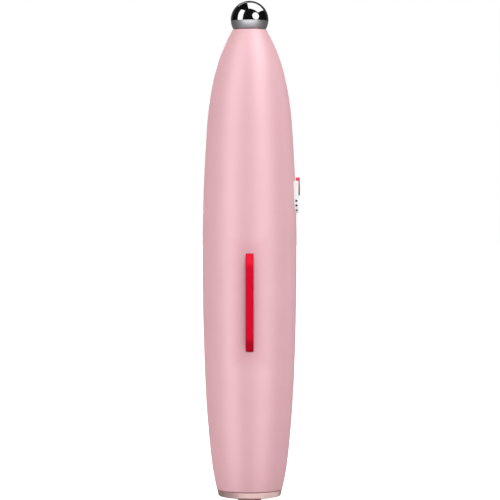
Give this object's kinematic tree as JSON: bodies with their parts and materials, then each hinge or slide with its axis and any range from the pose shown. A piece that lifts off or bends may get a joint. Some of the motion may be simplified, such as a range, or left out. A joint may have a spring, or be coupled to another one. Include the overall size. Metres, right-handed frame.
{
  "type": "microcurrent facial pen",
  "caption": "Torpedo-shaped facial massage pen with a polished ball tip, a long push bar on the front, a slide switch on its side and a screwed tail cap with a push button.",
  "frame": {"origin": "centre of the tail cap's flat rim face, on the pen's axis; the tail button stands out 2 mm below it", "axes": "+Z along the pen's axis to the ball tip, -Y through the push bar (the front), +X through the slide switch"},
  "size_m": [0.0291, 0.03, 0.1498],
  "materials": {
    "pink_shell": "satin pale pink",
    "polished_metal": "mirror polished",
    "satin_metal": "satin",
    "dark_rubber": "matte",
    "brass": "plain",
    "steel": "plated",
    "red_wire": "insulated",
    "black_wire": "insulated",
    "crimson_bar": "satin gloss",
    "dark_plastic": "matte",
    "white_plastic": "gloss",
    "hot_pink": "gloss",
    "board_green": "solder mask",
    "cell_case": "printed sleeve, plain",
    "champagne_metal": "satin anodised champagne",
    "mauve_button": "satin mauve"
  },
  "bodies": {
    "casing": {"front_shell": "pink_shell", "rear_shell": "pink_shell", "ball_electrode": "polished_metal", "electrode_collar": "satin_metal", "nose_seal": "dark_rubber", "nose_bush": "brass", "terminal_ring": "brass", "spring_washer": "steel", "stud_nut": "steel", "electrode_lead": "red_wire", "bar_gasket": "dark_rubber", "key_switches": "dark_plastic", "switch_plate": "white_plastic", "index_dots": "dark_plastic", "slide_switch": "steel", "side_board": "board_green", "header_pins": "brass", "inner_frame": "white_plastic", "frame_screws": "steel", "circuit_board": "board_green", "board_screws": "steel", "control_chip": "dark_plastic", "output_coil": "dark_plastic", "board_parts": "dark_plastic", "battery_cell": "cell_case", "battery_tip": "steel", "positive_contact": "brass", "tail_bush": "brass", "return_lead": "black_wire"},
    "mode_bar": {"mode_bar": "crimson_bar", "key_stems": "white_plastic"},
    "slide_cap": {"slide_cap": "hot_pink", "slide_carriage": "white_plastic", "slide_lever": "dark_plastic"},
    "cap_seal": {"cap_seal": "dark_rubber"},
    "tail_cap": {"tail_cap": "champagne_metal", "tail_switch": "dark_plastic", "switch_retainer": "brass", "negative_spring": "steel", "button_spring": "steel"},
    "tail_button": {"tail_button": "mauve_button", "switch_plunger": "white_plastic"}
  },
  "joints": [
    {"name": "bar_press", "type": "slide", "parent": "casing", "child": "mode_bar", "axis": [0, 1, 0], "range_m": [0, 0.0005], "stiffness_N_per_m": 4000},
    {"name": "level_slide", "type": "slide", "parent": "casing", "child": "slide_cap", "axis": [0, 0, -1], "range_m": [0, 0.0042]},
    {"name": "cap_slide", "type": "slide", "parent": "casing", "child": "cap_seal", "axis": [0, 0, -1], "range_m": [0, 0.0025], "deforming": ["negative_spring"]},
    {"name": "cap_turn", "type": "hinge", "parent": "cap_seal", "child": "tail_cap", "pos_m": [0, 0, 0], "axis": [0, 0, -1], "range_deg": [0, 720]},
    {"name": "tail_button_press", "type": "slide", "parent": "tail_cap", "child": "tail_button", "axis": [0, 0, 1], "range_m": [0, 0.0012], "stiffness_N_per_m": 210, "deforming": ["button_spring"]}
  ],
  "couplings": [
    {"joint": "cap_turn", "follows": "cap_slide", "rad_per_m": 5026.5}
  ]
}
